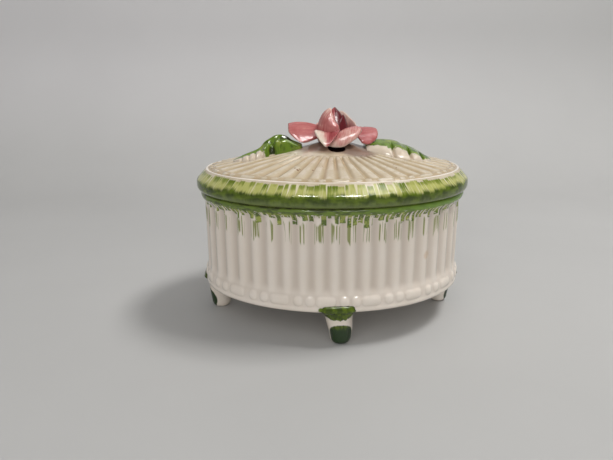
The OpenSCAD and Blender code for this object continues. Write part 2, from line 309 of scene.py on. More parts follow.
def bodyGlaze(s):
    # cast white porcelain under clear glaze, hand painted: glossy, and warmer and darker between the ribs
    # and round the beads
    material, tree = newGlaze("whiteGlazedPorcelain")
    vector, arc, up, pool = paintParts(tree)
    place = placeMm(tree)
    top = paintTop
    base = addNode(tree, "mix", addNode(tree, "noise", place, 1 / s["cloud"], 3), s["whiteWarm"], s["white"])
    base = brushOver(tree, addNode(tree, "noise", place, 1 / s["smallCloud"], 2), 0.35, base, s["whiteCool"])
    base = brushOver(tree, pool, 0.55, base, s["valley"])

    # thin upright strokes of a nearly dry brush, each one ending where the brush left the clay
    outside = addNode(tree, "fade", arc, 0.2, 0.8)
    ridge = addNode(tree, "minus", 1.0, addNode(tree, "fade", pool, 0.35, 0.65))
    streaks = addNode(tree, "stretch", vector, perMm(s["streakWidth"], s["streakHeight"], None))
    fine = addNode(tree, "noise", streaks, 1.0, 1.0)
    reach = addNode(tree, "noise", addNode(tree, "stretch", vector, perMm(2.222, None, None)), 1.0, 1.0)
    start = addNode(tree, "noise", addNode(tree, "stretch", vector, perMm(1.429, None, None)), 1.0, 1.0)
    reach = addNode(tree, "times", reach, s["strokeEndVaries"])
    start = addNode(tree, "times", start, s["strokeStartVaries"])
    strokeEnd = addNode(tree, "minus", top - s["strokeEnd"], reach)
    strokeTop = addNode(tree, "minus", top - s["strokeStart"], start)
    aboveEnd = addNode(tree, "minus", up, strokeEnd)
    wider = addNode(tree, "times", addNode(tree, "fade", aboveEnd, 0.0, 6.0), 0.03)      # higher up
    strokes = addNode(tree, "fade", addNode(tree, "plus", fine, wider), 0.525, 0.57)
    strokes = addNode(tree, "times", strokes, ridge)
    strokes = addNode(tree, "times", strokes, addNode(tree, "fade", aboveEnd, -0.3, 1.2))
    belowTop = addNode(tree, "minus", strokeTop, up)
    strokes = addNode(tree, "times", strokes, addNode(tree, "fade", belowTop, -0.5, 0.8))
    strokes = addNode(tree, "times", strokes, outside)
    base = brushOver(tree, strokes, 0.85, base, s["stroke"])

    # dabs laid side by side under the collar, each with its own length and strength
    cells = {"W": arc, "Scale": 1 / s["dabWidth"], "Randomness": 0.9}
    cellColour = addNode(tree, "TexVoronoi", cells, every=True, voronoi_dimensions="1D")[1]
    ownEnd, ownTone, ownGap = addNode(tree, "SeparateXYZ", cellColour, every=True)
    edges = addNode(tree, "TexVoronoi", cells, voronoi_dimensions="1D", feature="DISTANCE_TO_EDGE")
    rough = addNode(tree, "noise", addNode(tree, "stretch", vector, perMm(3.333, 5.0, None)), 1.0, 3)
    rough = addNode(tree, "times", addNode(tree, "minus", rough, 0.5), 2.4)
    high = addNode(tree, "plus", up, rough)
    dabEnd = addNode(tree, "minus", top - s["dabEnd"], addNode(tree, "times", ownEnd, s["dabEndVaries"]))
    aboveDab = addNode(tree, "minus", high, dabEnd)
    dabs = addNode(tree, "fade", aboveDab, -0.2, 0.3)
    hair = addNode(tree, "noise", addNode(tree, "stretch", vector, perMm(2.0, 20.0, None)), 1.0, 1)
    hair = addNode(tree, "fade", hair, 0.36, 0.42)
    gap = addNode(tree, "minus", edges, addNode(tree, "times", ownGap, 0.2))
    gap = addNode(tree, "times", addNode(tree, "fade", gap, -0.03, 0.04), hair)
    closed = addNode(tree, "fade", high, top - s["collar"] - 0.6, top - s["collar"] + 0.2)
    dabs = addNode(tree, "times", dabs, addNode(tree, "larger", gap, closed))

    # small slips of white clay show through along the underside of the collar; they are also painted glints,
    # the white horizontal highlights on the glossy roll
    slipsAndGlints = addNode(tree, "noise", addNode(tree, "stretch", vector, perMm(2.857, 0.9091, None)), 1.0, 2)
    slipsAndGlints = addNode(tree, "fade", slipsAndGlints, 0.62, 0.68)
    overCollar = addNode(tree, "fade", up, top - s["collar"], top - s["collar"] + 1.0)
    slipsAndGlints = addNode(tree, "times", slipsAndGlints, addNode(tree, "minus", 1.0, overCollar))
    dabs = addNode(tree, "times", dabs, addNode(tree, "minus", 1.0, slipsAndGlints))
    dabs = addNode(tree, "times", dabs, outside)
    belowRim = addNode(tree, "minus", 1.0, addNode(tree, "fade", up, top - 0.12, top))
    dabs = addNode(tree, "times", dabs, belowRim)
    patches = addNode(tree, "noise", addNode(tree, "stretch", vector, perMm(2.0, 3.333, None)), 1.0, 3, 0.6)
    shade = addNode(tree, "mix", addNode(tree, "fade", ownTone, 0.35, 0.75), s["dabDark"], s["line"])
    shade = addNode(tree, "mix", addNode(tree, "fade", patches, 0.44, 0.58), shade, s["dabPale"])
    tip = addNode(tree, "minus", 1.0, addNode(tree, "fade", aboveDab, 0.2, 0.9))
    shade = brushOver(tree, tip, 0.45, shade, s["dabDark"])
    collar = addNode(tree, "noise", addNode(tree, "stretch", vector, perMm(4.0, 1.25, None)), 1.0, 4, 0.6)
    collar = addNode(tree, "mix", addNode(tree, "fade", collar, 0.38, 0.58), s["collarDark"], s["line"])
    # painted light: the collar is painted brighter green towards the right-hand end, the side the key light
    # falls on
    litRight = addNode(tree, "fade", addNode(tree, "SeparateXYZ", place), -10.0, 55.0)
    collar = brushOver(tree, litRight, 0.7, collar, s["bright"])
    shade = addNode(tree, "mix", addNode(tree, "fade", up, top - 2.9, top - 2.1), shade, collar)
    base = brushOver(tree, dabs, 0.95, base, shade)

    # a slipped dab of green beside the front foot, and a tea-coloured stain in the glaze
    slipped = spot(tree, place, s["slipAt"], s["slipRadius"], 0.8)
    base = addNode(tree, "mix", slipped, base, s["green"])
    base = brushOver(tree, spot(tree, place, s["stainAt"], s["stainRadius"], 1.0), 0.35, base, s["stain"])
    finishGlaze(tree, base, s["roughness"], addNode(tree, "noise", place, 1 / s["glazeWave"], 2), 0.25)
    return material


lidPaint = {
    # the pale crest tone is a painted highlight along the rib crests
    "cream": "#bdad91", "creamPale": "#c7baa5", "tan": "#9c8252", "crest": "#d5cbba", "mauve": "#7a6253",
    # the near-black vent tone is painted shade in the drilled vent
    "rust": "#6f4420", "white": "#ebe2d8", "vent": "#241010", "slip": "#d6cfb0",
    "greenDark": "#38480a", "green": "#5e7212", "greenLight": "#b2b368", "olive": "#7f8a38",
    # the sage is a painted reflection of the table on the roll's foot, and the bare clay tone is also
    # painted shade in the seam
    "sage": "#7d8a56", "bareEdgeAndSeamShade": "#6b5848",
    "cloud": 8.333, "washPatch": 7.143, "highlightPatch": 6.25, "stainPatch": 4.545,
    # the mauve is a wash and also painted shade under the flower; its spot by the vent is a painted shadow
    # of the petals
    "mauveFrom": 18.5, "mauveTo": 24.0, "mauveNarrow": 1.29, "petalShadowAt": (11.0, -11.0), "petalShadowSize": 10.0,
    "speckSpacing": 2.222, "speckPatch": 11.11,
    # burst bubbles in the glaze: x, y and radius
    "pinHoles": [(-19.0, -31.0, 0.6), (-17.9, -32.4, 0.75), (-16.9, -31.3, 0.5), (-14.8, -29.9, 0.5),
                 (-11.4, -32.6, 0.6), (-10.0, -30.6, 0.5), (-7.3, -30.4, 0.4), (31.0, 18.0, 0.6),
                 (-29.0, 26.0, 0.5)],
    "dabWidth": 2.941, "brushHair": 0.625,               # a flat brush; bristles as wide as they show
    "roughness": 0.12, "glazeWave": 1.667,
}


def lidGlaze(s):
    # cast porcelain with a tan wash wiped off, so that it stays in the hollows, and a painted highlight
    # along the crests;
    # the rolled edge is brushed in greens, and gloss glaze covers all of it
    material, tree = newGlaze("creamWashGlaze")
    vector, arc, up, pool = paintParts(tree)
    place = placeMm(tree)
    base = addNode(tree, "mix", addNode(tree, "noise", place, 1 / s["cloud"], 3), s["cream"], s["creamPale"])
    wash = addNode(tree, "plus", 0.35, addNode(tree, "noise", place, 1 / s["washPatch"], 3))
    wash = addNode(tree, "times", pool, wash, use_clamp=True)
    base = brushOver(tree, wash, 0.7, base, s["tan"])
    # painted highlight: the rib crests are painted paler
    crest = addNode(tree, "minus", 1.0, addNode(tree, "fade", pool, 0.0, 0.25))
    highlightPatches = addNode(tree, "fade", addNode(tree, "noise", place, 1 / s["highlightPatch"], 3), 0.42, 0.62)
    base = brushOver(tree, addNode(tree, "times", crest, highlightPatches), 0.6, base, s["crest"])
    stains = addNode(tree, "fade", addNode(tree, "noise", place, 1 / s["stainPatch"], 4, 0.65), 0.52, 0.70)
    base = brushOver(tree, stains, 0.3, base, s["tan"])

    # a mauve wash lies round the foot of the flower, and it is painted shade under the flower as well; round
    # the vent lies a darker painted shadow of the petals
    flat = addNode(tree, "shift", place, (-roseX, 0.0, 0.0))
    away = addNode(tree, "length", addNode(tree, "stretch", flat, (1.0, s["mauveNarrow"], 0.0)))
    ragged = addNode(tree, "times", addNode(tree, "noise", place, 1 / 3.333, 2), 3.0)
    away = addNode(tree, "fade", addNode(tree, "plus", away, ragged), s["mauveFrom"], s["mauveTo"])
    mauve = addNode(tree, "times", addNode(tree, "minus", 1.0, away), addNode(tree, "fade", up, 70.0, 74.0))
    base = brushOver(tree, mauve, 0.9, base, s["mauve"])
    # painted shadow of the petals: a darker mauve spot beside the vent
    base = brushOver(tree, spot(tree, place, s["petalShadowAt"], s["petalShadowSize"], 3.0), 0.85, base, s["mauve"])

    # rust specks here and there, pin holes, and a clean white line where the dome meets the green edge
    speck = addNode(tree, "TexVoronoi", {"Vector": place, "Scale": 1 / s["speckSpacing"], "Randomness": 1.0})
    few = addNode(tree, "fade", addNode(tree, "noise", place, 1 / s["speckPatch"], 1), 0.62, 0.66)
    specks = addNode(tree, "minus", 1.0, addNode(tree, "fade", speck, 0.10, 0.2))
    specks = addNode(tree, "times", specks, few)
    base = brushOver(tree, specks, 0.9, base, s["rust"])
    for x, y, radius in s["pinHoles"]:
        base = brushOver(tree, spot(tree, place, (x, y), radius, 0.3), 0.85, base, s["rust"])
    base = addNode(tree, "mix", addNode(tree, "fade", pool, -0.2, -0.7), base, s["white"])
    # the drilled vent is painted near black: painted shade for the dark inside of the box
    ventShade = addNode(tree, "minus", 1.0, addNode(tree, "fade", up, 2.0, 20.0))
    base = addNode(tree, "mix", ventShade, base, s["vent"])

    # green edge: upright dabs side by side on the shoulder, with slips of white clay between some of them
    cells = {"W": arc, "Scale": 1 / s["dabWidth"], "Randomness": 1.0}
    cellColour = addNode(tree, "TexVoronoi", cells, every=True, voronoi_dimensions="1D")[1]
    ownEnd, ownTone, ownGap = addNode(tree, "SeparateXYZ", cellColour, every=True)
    edges = addNode(tree, "TexVoronoi", cells, voronoi_dimensions="1D", feature="DISTANCE_TO_EDGE")
    hair = addNode(tree, "stretch", vector, perMm(s["brushHair"], 10.0, None))
    fine = addNode(tree, "noise", hair, 1.0, 3, 0.6)
    broad = addNode(tree, "noise", addNode(tree, "stretch", vector, perMm(2.0, 8.333, None)), 1.0, 3, 0.6)
    deep = addNode(tree, "plus", addNode(tree, "times", ownTone, 0.55), addNode(tree, "times", broad, 0.6))
    lower = addNode(tree, "minus", 1.0, addNode(tree, "fade", up, edgeCrease + 0.8, edgeCrease + 3.2))
    deep = addNode(tree, "minus", deep, addNode(tree, "times", lower, 0.32))
    shoulder = addNode(tree, "mix", addNode(tree, "fade", deep, 0.32, 0.58), s["greenLight"], s["olive"])
    shoulder = addNode(tree, "mix", addNode(tree, "fade", deep, 0.54, 0.78), shoulder, s["green"])
    shoulder = brushOver(tree, addNode(tree, "fade", fine, 0.40, 0.30), 0.55, shoulder, s["green"])
    shoulder = brushOver(tree, addNode(tree, "fade", fine, 0.54, 0.66), 0.6, shoulder, s["slip"])
    rising = addNode(tree, "fade", up, edgeCrease - 1.5, edgeTop)
    spread = addNode(tree, "times", rising, addNode(tree, "times", ownGap, 0.26))
    streak = addNode(tree, "times", addNode(tree, "minus", fine, 0.5), 0.30)
    gaps = addNode(tree, "minus", addNode(tree, "plus", edges, streak), spread)
    gaps = addNode(tree, "minus", 1.0, addNode(tree, "fade", gaps, -0.04, 0.05))
    some = addNode(tree, "noise", addNode(tree, "stretch", vector, perMm(6.25, 50.0, None)), 1.0, 1.0)
    gaps = addNode(tree, "times", gaps, addNode(tree, "fade", some, 0.44, 0.54))
    gaps = addNode(tree, "times", gaps, addNode(tree, "fade", up, edgeCrease - 0.8, edgeCrease + 0.8))
    shoulder = addNode(tree, "mix", gaps, shoulder, s["slip"])
    patches = addNode(tree, "noise", addNode(tree, "stretch", vector, perMm(4.545, 2.857, None)), 1.0, 4)
    rollTone = addNode(tree, "mix", addNode(tree, "fade", patches, 0.36, 0.66), s["greenDark"], s["green"])
    wobble = addNode(tree, "noise", addNode(tree, "stretch", vector, perMm(1.111, 10.0, None)), 1.0, 3)
    wobble = addNode(tree, "times", addNode(tree, "minus", wobble, 0.5), 2.6)
    wobble = addNode(tree, "minus", wobble, addNode(tree, "times", ownEnd, 1.4))
    upper = addNode(tree, "fade", addNode(tree, "plus", up, wobble), edgeCrease - 1.6, edgeCrease + 0.2)
    edge = addNode(tree, "mix", upper, rollTone, shoulder)
    # painted reflection: the foot of the roll is painted paler sage, for the table seen in the glaze; its
    # very edge is bare clay, painted dark brown, which is also painted shade in the seam under the lid
    ragged = addNode(tree, "plus", up, addNode(tree, "times", wobble, 0.6))
    floorReflection = addNode(tree, "minus", 1.0, addNode(tree, "fade", ragged, paintTop + 0.8, paintTop + 3.2))
    edge = brushOver(tree, floorReflection, 0.5, edge, s["sage"])
    bare = addNode(tree, "minus", 1.0, addNode(tree, "fade", up, paintTop + 0.15, paintTop + 0.55))
    edge = addNode(tree, "mix", bare, edge, s["bareEdgeAndSeamShade"])
    topEnd = addNode(tree, "minus", edgeTop + 0.5, addNode(tree, "times", ownEnd, 0.9))
    topEnd = addNode(tree, "minus", topEnd, addNode(tree, "times", fine, 1.2))
    over = addNode(tree, "fade", addNode(tree, "minus", up, topEnd), -0.35, 0.1)
    painted = addNode(tree, "times", addNode(tree, "minus", 1.0, over), addNode(tree, "fade", arc, 0.2, 0.8))
    base = addNode(tree, "mix", painted, base, edge)
    finishGlaze(tree, base, s["roughness"], addNode(tree, "noise", place, 1 / s["glazeWave"], 2), 0.3)
    return material


petalPaint = {
    "stops": [(0.0, "#dccdbd"), (0.18, "#dcbcae"), (0.42, "#bd7471"), (0.68, "#a24a4c"), (1.0, "#5c0f18")],
    "streakWidth": 0.9091, "streakLength": 6.25, "cloud": 4.0, "roughness": 0.2,
}


def roseGlaze(s):
    # pinched porcelain petals, pink stain brushed on from the root and thin at the rim, clear gloss over it
    # paint x is millimetres across, y is millimetres along, z is how deep the colour is, from 0 to 1
    material, tree = newGlaze("roseGlazedPetal")
    vector, across, along, depth = paintParts(tree)
    place = placeMm(tree)
    streaks = addNode(tree, "stretch", vector, perMm(s["streakWidth"], s["streakLength"], None))
    streak = addNode(tree, "noise", streaks, 1.0, 3, 0.6)
    cloud = addNode(tree, "noise", place, 1 / s["cloud"], 3)
    streaky = addNode(tree, "times", addNode(tree, "minus", streak, 0.5), 0.5)
    cloudy = addNode(tree, "times", addNode(tree, "minus", cloud, 0.5), 0.35)
    tone = addNode(tree, "plus", addNode(tree, "plus", depth, streaky), cloudy, use_clamp=True)
    base = addNode(tree, "ValToRGB", tone)
    ramp = base.node.color_ramp
    for k, (at, tint) in enumerate(s["stops"]):
        stop = ramp.elements[k] if k < 2 else ramp.elements.new(at)
        stop.position, stop.color = at, colour(tint)
    finishGlaze(tree, base, s["roughness"], addNode(tree, "plus", streak, cloud), 0.3)
    return material


leafPaint = {
    "dark": "#354a0e", "mid": "#64801e", "light": "#87963a", "bare": "#d9cdbd", "tan": "#b59d7c",
    "pooled": "#2b2a1e", "streakAlong": 4.0, "streakAcross": 1.111, "cloud": 4.545, "bareCloud": 5.0,
    "ragged": 2.0,
    # dark spots: glaze pooled dark on top of the leaf, which is painted shade as well, and painted shade in
    # the crease of the front roll; x, y, z, radius and how ragged
    "pools": [(-21.8, -0.6, 84.3, 3.4, 1.2), (-28.8, -4.4, 79.0, 2.4, 0.4)],
    "roughness": 0.1,
}


def leafGlaze(s):
    # modelled clay leaf under a runny gloss: copper green floated over the top, white clay left on the lobes
    # paint x and y are millimetres along and across, z is how much green, from 0 to 1
    material, tree = newGlaze("leafGreenGlaze")
    vector, along, across, green = paintParts(tree)
    place = placeMm(tree)
    streaks = addNode(tree, "stretch", vector, perMm(s["streakAlong"], s["streakAcross"], None))
    streak = addNode(tree, "noise", streaks, 1.0, 3, 0.6)
    tone = addNode(tree, "mix", addNode(tree, "fade", streak, 0.30, 0.55), s["dark"], s["mid"])
    thin = addNode(tree, "fade", addNode(tree, "noise", place, 1 / s["cloud"], 3), 0.50, 0.68)
    tone = brushOver(tree, thin, 0.8, tone, s["light"])
    bare = brushOver(tree, addNode(tree, "noise", place, 1 / s["bareCloud"], 3), 0.5, s["bare"], s["tan"])
    ragged = addNode(tree, "minus", addNode(tree, "noise", place, 1 / s["ragged"], 3), 0.5)
    ragged = addNode(tree, "plus", green, addNode(tree, "times", ragged, 0.7))
    base = addNode(tree, "mix", addNode(tree, "fade", ragged, 0.42, 0.58), bare, tone)
    # dark spots of pooled glaze, and painted shade in the crease of the front roll
    for x, y, z, radius, rag in s["pools"]:
        base = brushOver(tree, spot(tree, place, (x, y, z), radius, rag), 0.85, base, s["pooled"])
    finishGlaze(tree, base, s["roughness"], streak, 0.25, 0.1)
    return material


footPaint = {
    "white": "#ebe2d8", "whiteWarm": "#e1d5c6", "greenDark": "#38480a", "green": "#5e7212", "toe": "#23381a",
    "cloud": 6.667, "capLow": 12.5, "toeAt": (0.1, 4.4), "toeSize": (6.8, 5.9),
    "roughness": 0.2, "glazeWave": 2.0,
}


def footGlaze(s):
    # white glazed porcelain, green brushed on the cap and the toe, glossy as the body is
    # paint x is millimetres round, y is height, z is how much it faces out
    material, tree = newGlaze("footPaintedGlaze")
    vector, arc, up, out = paintParts(tree)
    place = placeMm(tree)
    base = addNode(tree, "mix", addNode(tree, "noise", place, 1 / s["cloud"], 3), s["whiteWarm"], s["white"])
    rag = addNode(tree, "noise", addNode(tree, "stretch", vector, perMm(1.111, 8.333, None)), 1.0, 3)
    rag = addNode(tree, "times", addNode(tree, "minus", rag, 0.5), 2.4)
    bowed = addNode(tree, "times", addNode(tree, "times", arc, arc), 0.05)
    high = addNode(tree, "minus", addNode(tree, "plus", up, rag), bowed)
    cap = addNode(tree, "fade", high, s["capLow"] - 0.3, s["capLow"] + 0.3)
    cap = addNode(tree, "times", cap, addNode(tree, "fade", out, 0.0, 0.1))
    # a round dab of green on the front of the toe
    middle = addNode(tree, "shift", vector, (-s["toeAt"][0], -s["toeAt"][1], 0.0))
    away = addNode(tree, "length", addNode(tree, "stretch", middle, perMm(*s["toeSize"], None)))
    away = addNode(tree, "plus", away, addNode(tree, "times", rag, 0.06))
    toe = addNode(tree, "minus", 1.0, addNode(tree, "fade", away, 0.94, 1.04))
    patches = addNode(tree, "noise", addNode(tree, "stretch", vector, perMm(1.429, 3.333, None)), 1.0, 3)
    green = addNode(tree, "mix", addNode(tree, "fade", patches, 0.4, 0.65), s["greenDark"], s["green"])
    green = addNode(tree, "mix", addNode(tree, "fade", up, 7.0, 10.0), s["toe"], green)
    base = addNode(tree, "mix", addNode(tree, "larger", cap, toe), base, green)
    finishGlaze(tree, base, s["roughness"], addNode(tree, "noise", place, 1 / s["glazeWave"], 2), 0.25)
    return material


whiteGlaze = bodyGlaze(bodyPaint)
creamGlaze = lidGlaze(lidPaint)
petalGlaze = roseGlaze(petalPaint)
greenGlaze = leafGlaze(leafPaint)
pawGlaze = footGlaze(footPaint)
print("glazes mixed")


# the box, in millimetres and degrees; reels and beads alternate on the band above the lip
bodyShape = {
    "wall": 61.6, "ribs": 46, "ribDepth": 0.95, "valleyAt": -90.0, "perRib": 24,
    "beadRuns": 16, "reelAt": -98.3, "reelHalf": 4.3, "beadHalf": 2.1, "beadOffsets": (9.2, 14.9),
    "beadRise": 0.62, "beadHeight": 2.3, "beadUp": 5.1,
}


def beadRelief(angle, offset, ringRadius, s):
    # reels and beads in turn: 1 in the middle of each and 0 outside it; offset is how far across the band
    period = 360 / s["beadRuns"]
    rise = np.zeros(np.broadcast(angle, offset).shape)
    for shift, half, power in ((0.0, s["reelHalf"], 6.0), (s["beadOffsets"][0], s["beadHalf"], 2.4),
                               (s["beadOffsets"][1], s["beadHalf"], 2.4)):
        turn = (np.degrees(angle) - s["reelAt"] - shift + period / 2) % period - period / 2
        along = np.abs(np.radians(turn) * ringRadius / half)
        reach = 1 - along ** power - np.abs(offset / s["beadHeight"]) ** 2.4
        rise = np.maximum(rise, np.clip(reach, 0, 1) ** 0.75)
    return rise


def arcLength(a, angle):
    x, y = ringXY(a, angle)
    return np.concatenate([[0], np.cumsum(np.hypot(np.diff(x), np.diff(y)))])


def makeBody(s):
    wall = s["wall"]
    low, rim = bodyLow[2], bodyHigh[2]
    floorTop = low + 5.0
    under = np.array([(a, low + 1) for a in np.linspace(1.5, 52, 12)])
    lip = roundRun([(54, low + 1), (58.4, low + 0.95), (59.4, low + 0.2), (60.6, low), (61.9, low + 0.1),
                    (62.6, low + 0.8), (62.75, low + 1.7), (62.55, low + 2.7), (62.4, low + 4.4),
                    (62.25, low + 6.2), (61.95, low + 7.8), (61.7, low + 9.4), (wall, low + 11)], 0.33)
    side = roundRun([(wall, low + 11), (wall, low + 12.5), (wall, rim - 7), (wall, rim - 5.2)], 0.9)
    collar = roundRun([(wall, rim - 5.2), (61.65, rim - 4.4), (62.1, rim - 3.6), (62.8, rim - 2.8),
                       (63.2, rim - 1.8), (63.1, rim - 0.8), (62.3, rim - 0.15), (61.2, rim), (59.5, rim),
                       (58.2, rim - 0.1), (57.5, rim - 0.8)], 0.35)
    inside = roundRun([(57.5, rim - 0.8), (57.4, rim - 4), (57.4, rim - 20), (57.4, floorTop + 4),
                       (56.6, floorTop + 1.6), (54.5, floorTop + 0.4), (50, floorTop)], 1.6)
    floor = np.array([(a, floorTop) for a in np.linspace(46, 1.5, 12)])
    profile = np.vstack([under, lip[:-1], side[:-1], collar[:-1], inside, floor])
    angle = np.linspace(math.pi / 2, math.pi / 2 + twoPi, s["ribs"] * s["perRib"] + 1)
    a, z = profile[:, :1], profile[:, 1:]
    shown = np.zeros_like(a)
    shown[len(under) + 3:len(under) + len(lip) + len(side) + len(collar) - 6] = 1
    phase = (np.degrees(angle)[None, :] - s["valleyAt"]) * s["ribs"] / 360 * twoPi
    valley = ((1 + np.cos(phase)) / 2) ** 1.25
    # each rib runs out softly above the beads and below the collar
    foot = low + 6.9 + 1.2 * valley
    ribs = ease(z, foot - 2.6, foot + 3.4) * (1 - ease(z, rim - 5.6, rim - 3.8)) * shown
    relief = -s["ribDepth"] * valley * ribs
    beadZ = low + s["beadUp"]
    radius = np.hypot(*ringXY(62.4, angle))[None, :]
    beads = beadRelief(angle[None, :], z - beadZ, radius, s) * shown
    relief = relief + s["beadRise"] * beads
    # pressed and lifted by hand, so a little out of true
    hand = 0.10 * np.sin(3 * angle + 0.7) + 0.07 * np.sin(7 * angle + 2.1) + 0.05 * np.sin(13 * angle)
    relief = relief + hand[None, :] * shown
    x, y = ringXY(a + relief, angle[None, :])
    waver = 0.12 * np.sin(2 * angle + 0.4)[None, :] * shown * (1 - ease(z, rim - 6, rim - 3))
    grid = np.stack([x, y, z + waver], 2)
    arc = np.where(shown > 0, arcLength(wall, angle)[None, :] + 2, -9)
    band = 1 - ease(np.abs(z - beadZ), 2.0, 3.4)
    pool = np.clip(valley * ribs + 0.4 * band * (1 - ease(beads, 0.05, 0.6)) * shown, 0, 1)
    paint = np.stack([arc, z + 0 * x, pool], 2)
    obj = addTurned("boxBody", grid[:, :-1], paint, whiteGlaze)
    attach(obj, "box")
    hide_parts("body_shell")


makeBody(bodyShape)
print("box body cast")


# radii of a foot from its toe to the cap that laps over the lip
footShape = {"toeFlat": 2.6, "toe": 4.9, "knee": 5.6, "top": 6.6, "cap": 8.7, "capRise": 3.3}


def makeFoot(node, s):
    low, high = boxMm(node)
    cx, cy = (low[0] + high[0]) / 2, (low[1] + high[1]) / 2
    lip = bodyLow[2]
    out = math.atan2(cy, cx)
    knots = [(s["toeFlat"] * 0.5, 0.0), (s["toeFlat"], 0.05), (s["toe"] - 1.0, 0.7),
             (s["toe"] - 0.25, 2.0), (s["toe"], 3.6), (s["knee"] - 0.3, 6.2), (s["knee"] + 0.1, 9.0),
             (s["top"] - 0.55, 11.8), (s["top"], lip - 2.2), (s["top"] + 0.6, lip - 0.8),
             (s["cap"] - 0.1, lip + 0.5), (s["cap"], lip + 1.3),
             (s["cap"] - 0.7, lip + s["capRise"] - 0.3), (s["cap"] - 2.5, lip + s["capRise"])]
    profile = roundRun(knots, 0.35)
    angle = np.linspace(0, twoPi, 97)
    r, z = profile[:, :1], profile[:, 1:]
    facing = np.cos(angle - out)[None, :]
    hand = 1 + 0.02 * np.sin(2 * angle + cx) + 0.015 * np.sin(5 * angle + cy)
    # towards the lip the round leg turns squarish and steps outwards, so that its cap lies flat over the lip
    square = 2 + 1.6 * ease(z, lip - 4, lip + 0.5)
    turn = angle - out
    r = r * hand / (np.abs(np.cos(turn)) ** square + np.abs(np.sin(turn)) ** square) ** (1 / square)
    shift = -0.95 * ease(z, lip - 3, lip + 0.5)
    sway = -1.3 * ease(z, 3.0, lip)
    x = cx + r * np.cos(angle) + shift * math.cos(out) - sway * math.sin(out)
    y = cy + r * np.sin(angle) + shift * math.sin(out) + sway * math.cos(out)
    grid = np.stack([x, y, np.maximum(z, 0) + 0 * x], 2)
    side = (angle - out + math.pi) % twoPi - math.pi          # 0 straight outwards
    paint = np.stack([side[None, :] * s["knee"] + 0 * x, z + 0 * x, facing + 0 * x], 2)
    obj = addTurned(camelName(node), grid[:, :-1], paint, pawGlaze)
    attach(obj, "box")
    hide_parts(node)


for node in ("foot_front", "foot_back", "foot_left", "foot_right"):
    makeFoot(node, footShape)
print("feet made")


# A sizes are half lengths along X
lidShape = {
    "ribs": 44, "ribAt": -92.8, "ribRise": 0.7, "ribIn": 24.5, "ribOut": 56.4, "perRib": 22,
    "beadRuns": 15, "reelAt": -91.5, "reelHalf": 3.8, "beadHalf": 1.7, "beadOffsets": (9.3, 14.6),
    "beadRise": 0.45, "beadHeight": 0.95, "domeA": 58.0, "domeRise": 9.0, "bossA": 26.0, "bossRise": 2.4,
    "thick": 3.8, "hollow": 53.0, "ventOffset": (0.0, -10.2), "ventRadius": 4.0,
}


def domeHeight(a, s):
    # a is the ring radius; the crown's boss sits under the flower
    low = bodyHigh[2] + 10.6
    dome = s["domeRise"] * (1 - np.minimum(a / s["domeA"], 1) ** 1.3)
    boss = s["bossRise"] * (1 + np.cos(math.pi * np.minimum(a / s["bossA"], 1))) / 2
    return low + dome + boss


def domeAt(x, y, s):
    return domeHeight(np.hypot(x, y * s["domeA"] / (s["domeA"] - ovalStep)), s)


